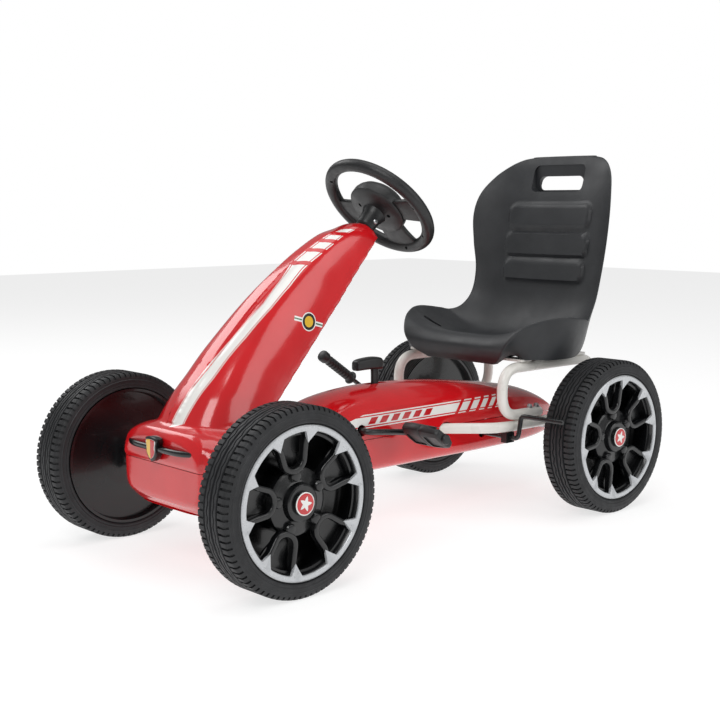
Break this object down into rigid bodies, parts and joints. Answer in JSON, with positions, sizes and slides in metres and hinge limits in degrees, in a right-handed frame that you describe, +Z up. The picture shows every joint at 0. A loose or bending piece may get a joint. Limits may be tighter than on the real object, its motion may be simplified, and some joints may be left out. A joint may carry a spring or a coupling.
{
  "type": "pedal go kart",
  "caption": "Child's pedal go kart with glossy fairings, bucket seat, tilted steering wheel, moulded wheels, chain drive, hand brake and gear lever.",
  "frame": {"origin": "on the ground under the middle of the kart's bounding box", "axes": "-Y is forward, +X is the driver's left, +Z is up"},
  "size_m": [0.5, 0.9908, 0.617],
  "materials": {
    "tyre": "matte moulded tread",
    "wheel_black": "gloss black moulding",
    "badge_red": "gloss red disc",
    "nylon": "natural nylon",
    "frame_white": "white powder coat",
    "black_steel": "black paint",
    "bright_steel": "zinc plated",
    "black_plastic": "satin black",
    "red_gloss": "high gloss red",
    "seat_charcoal": "fine grained charcoal"
  },
  "bodies": {
    "chassis": {"axle_bearing_left": "nylon", "axle_bearing_right": "nylon", "front_axle_beam": "frame_white", "column_bracket": "frame_white", "backbone_tube": "frame_white", "rail_junction_plate": "frame_white", "frame_rail_left": "frame_white", "frame_rail_right": "frame_white", "seat_loop_left": "frame_white", "seat_loop_right": "frame_white", "axle_bracket_left": "frame_white", "axle_bracket_right": "frame_white", "seat_strap_front": "frame_white", "seat_strap_rear": "frame_white", "drive_chain": "black_steel", "gear_lever_bracket": "black_steel", "kingpin_left": "bright_steel", "kingpin_right": "bright_steel", "nose_bar": "black_plastic", "brake_clip_left": "black_plastic", "brake_clip_right": "black_plastic", "bonnet_shell": "red_gloss", "chin_shell": "red_gloss", "pod_upper_shell": "red_gloss", "pod_lower_shell": "red_gloss", "nose_badge": "badge_red", "seat_shell": "seat_charcoal"},
    "steering": {"steering_column": "black_steel", "steering_wheel": "black_plastic", "steering_hub_pad": "black_plastic", "column_collar": "black_plastic", "collar_bolt": "bright_steel"},
    "knuckle_left": {"steering_knuckle_left": "black_steel"},
    "knuckle_right": {"steering_knuckle_right": "black_steel"},
    "tie_left": {"tie_rod_left": "bright_steel"},
    "tie_right": {"tie_rod_right": "bright_steel"},
    "front_wheel_left": {"tyre_front_left": "tyre", "rim_front_left": "wheel_black", "hub_cap_front_left": "badge_red", "wheel_bush_left": "nylon"},
    "front_wheel_right": {"tyre_front_right": "tyre", "rim_front_right": "wheel_black", "hub_cap_front_right": "badge_red", "wheel_bush_right": "nylon"},
    "rear_wheels": {"rear_axle": "bright_steel", "axle_sprocket": "black_steel", "tyre_rear_left": "tyre", "rim_rear_left": "wheel_black", "hub_cap_rear_left": "badge_red", "tyre_rear_right": "tyre", "rim_rear_right": "wheel_black", "hub_cap_rear_right": "badge_red"},
    "crank": {"crank_axle": "black_steel", "crank_sprocket": "black_steel"},
    "left_pedal": {"pedal_left": "black_plastic"},
    "right_pedal": {"pedal_right": "black_plastic"},
    "hand_brake": {"brake_lever": "black_steel", "brake_grip": "black_plastic"},
    "gear_selector": {"gear_lever_stem": "black_plastic", "gear_lever_knob": "black_plastic"}
  },
  "joints": [
    {"name": "steering_turn", "type": "hinge", "parent": "chassis", "child": "steering", "pos_m": [0, 0.00556, 0.524], "axis": [0, 0.712, 0.7022], "range_deg": [-32, 32]},
    {"name": "knuckle_left_turn", "type": "hinge", "parent": "chassis", "child": "knuckle_left", "pos_m": [0.158, -0.36344, 0.132], "axis": [0, 0, 1], "range_deg": [-28.8, 28.8]},
    {"name": "knuckle_right_turn", "type": "hinge", "parent": "chassis", "child": "knuckle_right", "pos_m": [-0.158, -0.36344, 0.132], "axis": [0, 0, 1], "range_deg": [-28.8, 28.8]},
    {"name": "tie_rod_left_turn", "type": "hinge", "parent": "knuckle_left", "child": "tie_left", "pos_m": [0.158, -0.33044, 0.148], "axis": [0, 0, 1], "range_deg": [-28.8, 28.8]},
    {"name": "tie_rod_right_turn", "type": "hinge", "parent": "knuckle_right", "child": "tie_right", "pos_m": [-0.158, -0.33044, 0.148], "axis": [0, 0, 1], "range_deg": [-28.8, 28.8]},
    {"name": "front_wheel_left_spin", "type": "hinge", "parent": "knuckle_left", "child": "front_wheel_left", "pos_m": [0.216, -0.36344, 0.132], "axis": [1, 0, 0], "continuous": true},
    {"name": "front_wheel_right_spin", "type": "hinge", "parent": "knuckle_right", "child": "front_wheel_right", "pos_m": [-0.216, -0.36344, 0.132], "axis": [1, 0, 0], "continuous": true},
    {"name": "rear_axle_spin", "type": "hinge", "parent": "chassis", "child": "rear_wheels", "pos_m": [0, 0.33856, 0.132], "axis": [1, 0, 0], "continuous": true},
    {"name": "crank_spin", "type": "hinge", "parent": "chassis", "child": "crank", "pos_m": [0, -0.09244, 0.172], "axis": [1, 0, 0], "continuous": true},
    {"name": "pedal_left_spin", "type": "hinge", "parent": "crank", "child": "left_pedal", "pos_m": [0.131, -0.01105, 0.16201], "axis": [1, 0, 0], "continuous": true},
    {"name": "pedal_right_spin", "type": "hinge", "parent": "crank", "child": "right_pedal", "pos_m": [-0.131, -0.17383, 0.18199], "axis": [1, 0, 0], "continuous": true},
    {"name": "hand_brake_pull", "type": "hinge", "parent": "chassis", "child": "hand_brake", "pos_m": [0, 0.19156, 0.134], "axis": [-1, 0, 0], "range_deg": [0, 12]},
    {"name": "gear_lever_swing", "type": "hinge", "parent": "chassis", "child": "gear_selector", "pos_m": [0, -0.00444, 0.178], "axis": [1, 0, 0], "range_deg": [-12, 12]}
  ],
  "couplings": [
    {"joint": "knuckle_left_turn", "follows": "steering_turn", "ratio": 0.9},
    {"joint": "knuckle_right_turn", "follows": "steering_turn", "ratio": 0.9},
    {"joint": "tie_rod_left_turn", "follows": "steering_turn", "ratio": -0.9},
    {"joint": "tie_rod_right_turn", "follows": "steering_turn", "ratio": -0.9},
    {"joint": "crank_spin", "follows": "rear_axle_spin", "ratio": 0.55556}
  ]
}
